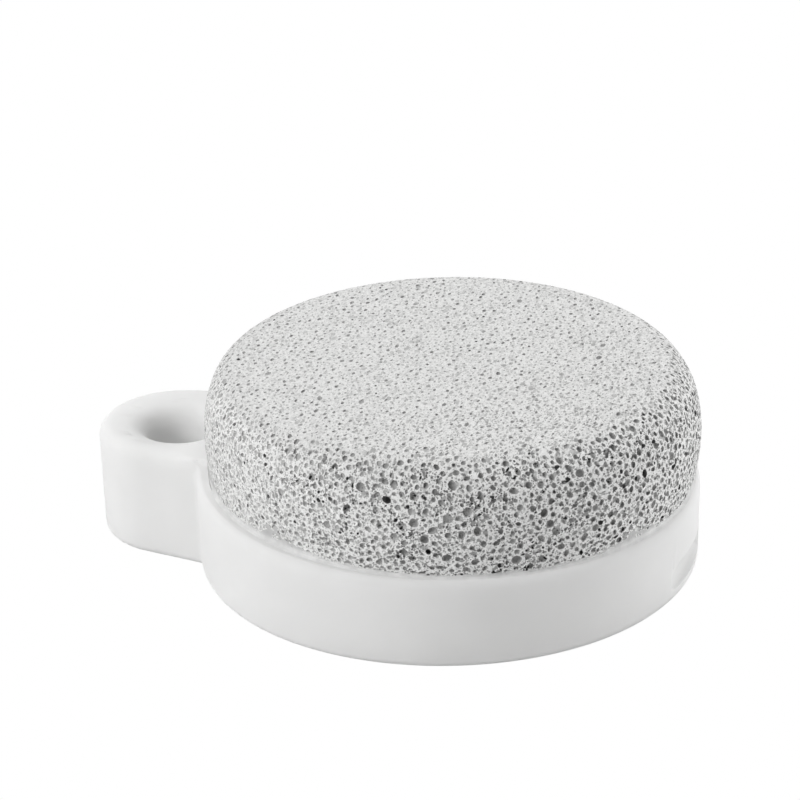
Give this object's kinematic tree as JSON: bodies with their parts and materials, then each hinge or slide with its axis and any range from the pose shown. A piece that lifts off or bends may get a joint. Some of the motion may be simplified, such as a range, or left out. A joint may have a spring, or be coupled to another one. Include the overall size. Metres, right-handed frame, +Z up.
{
  "type": "pumice stone in a holder with a hanging eye",
  "caption": "Round pumice foot stone with a rounded shoulder, cemented into a low white plastic cup that has a hanging eye at one side and a shallow grip slot opposite.",
  "frame": {"origin": "centre of the cup's flat underside", "axes": "+Z up through the stone, -X towards the hanging eye, +X towards the grip slot"},
  "size_m": [0.0742, 0.0606, 0.0254],
  "materials": {
    "white_plastic": "moulded satin white",
    "pumice": "matt, porous, cut and rubbed smooth",
    "cement": "set white adhesive, uneven"
  },
  "bodies": {
    "root": {"holder": "white_plastic", "pumice_stone": "pumice", "glue_line": "cement"}
  },
  "joints": []
}
